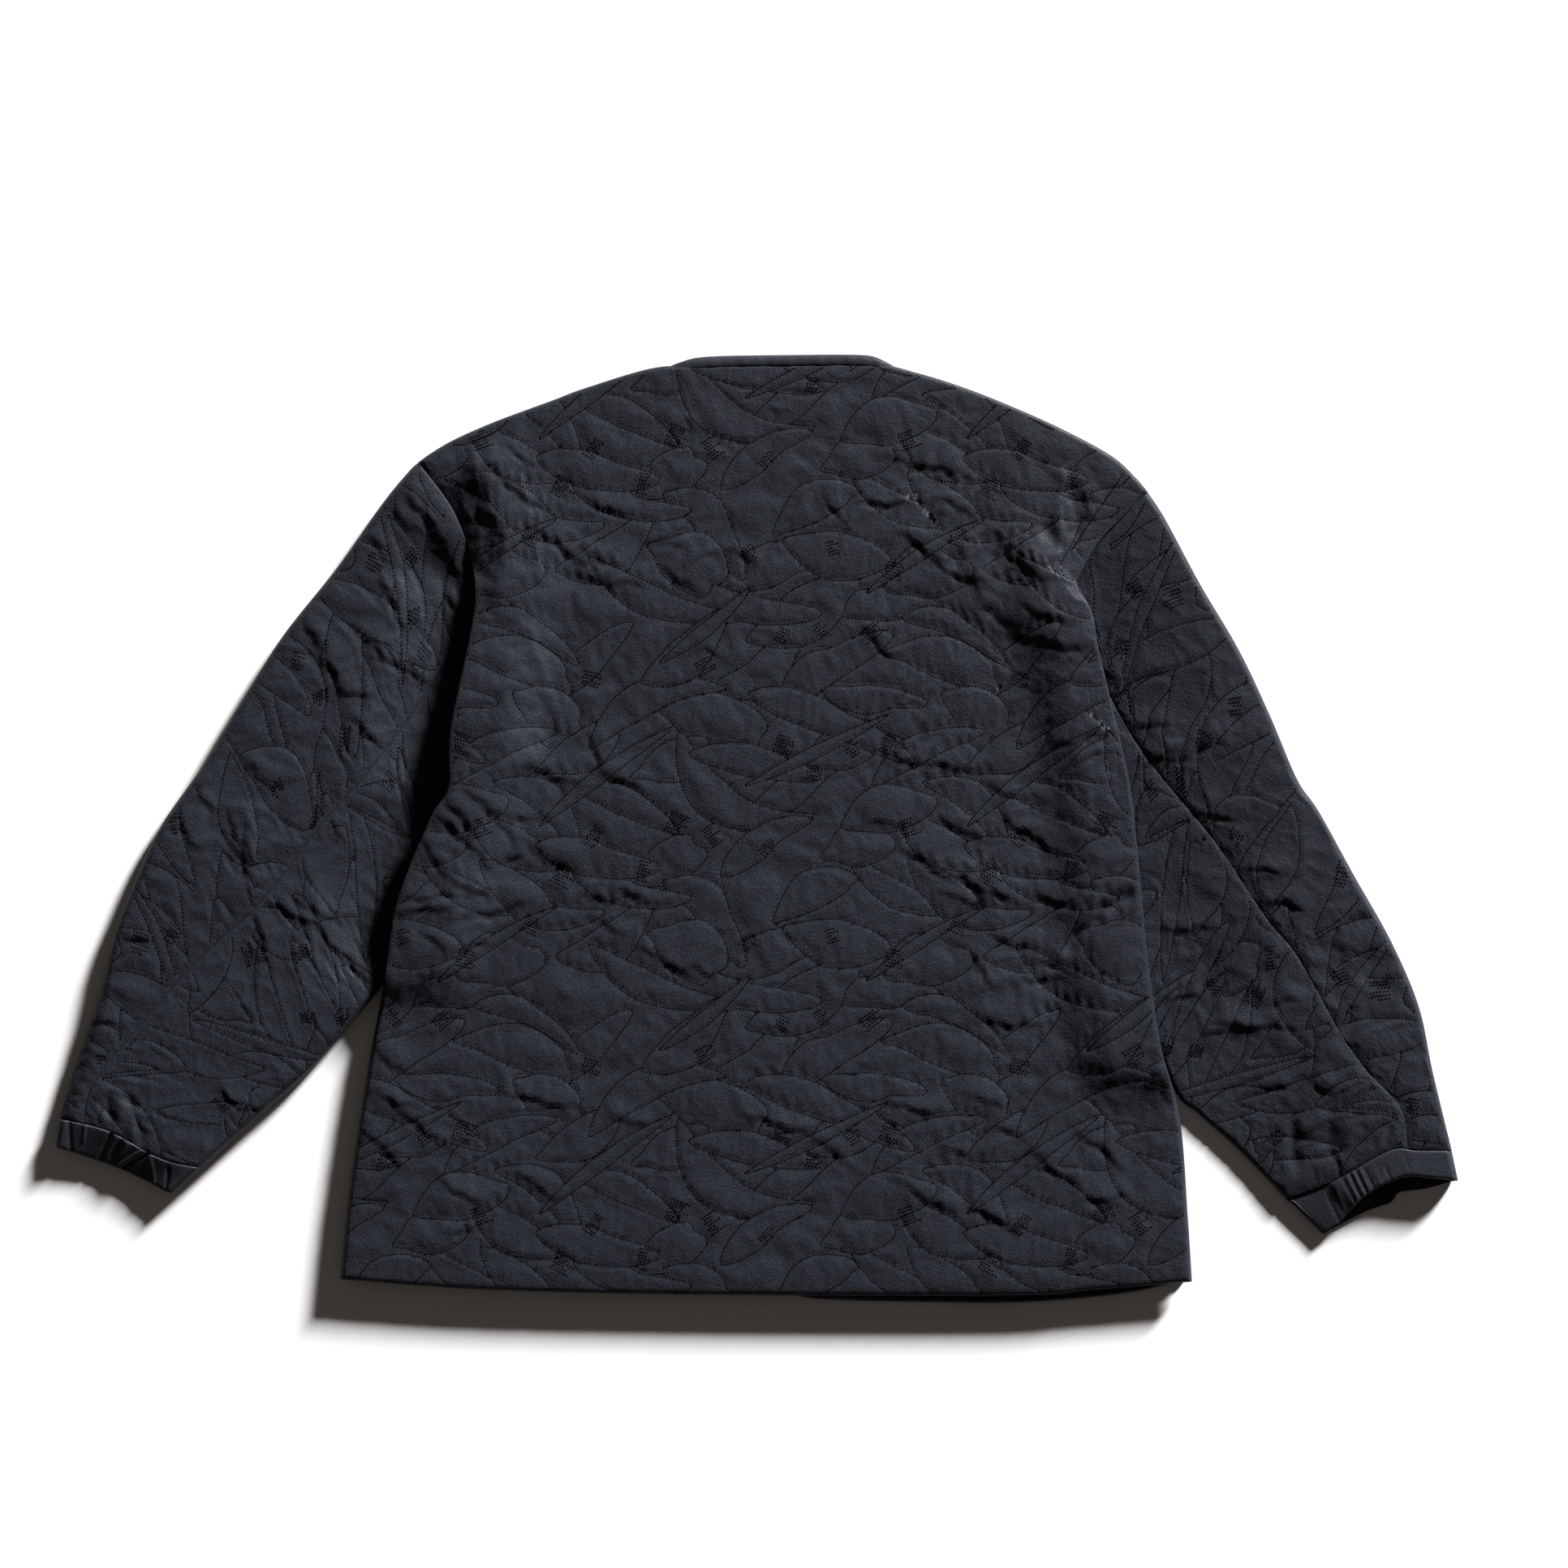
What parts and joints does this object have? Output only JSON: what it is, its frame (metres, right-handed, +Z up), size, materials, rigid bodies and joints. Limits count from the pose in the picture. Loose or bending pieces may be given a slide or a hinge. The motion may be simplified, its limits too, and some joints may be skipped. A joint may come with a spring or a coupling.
{
  "type": "quilted jacket laid flat",
  "caption": "Collarless quilted jacket laid flat with its back up: padded back, fronts, two-piece sleeves, gathered cuffs and a bound neck.",
  "frame": {"origin": "middle of the bounding box's underside, on the surface that the jacket lies on", "axes": "+Z up through the layers, +Y from the hem to the neck, +X to the right of someone who looks down on the back"},
  "size_m": [1.0518, 0.7115, 0.0254],
  "materials": {
    "quilted_nylon": "matte dark blue-grey nylon with a slight sheen, quilted over padding",
    "nylon_trim": "the same nylon, unquilted and gathered or bound"
  },
  "bodies": {
    "root": {"back": "quilted_nylon", "front_left": "quilted_nylon", "front_right": "quilted_nylon", "sleeve_top_left": "quilted_nylon", "sleeve_top_right": "quilted_nylon", "sleeve_under_left": "quilted_nylon", "sleeve_under_right": "quilted_nylon", "cuff_left": "nylon_trim", "cuff_right": "nylon_trim", "neck_binding": "nylon_trim"}
  },
  "joints": []
}
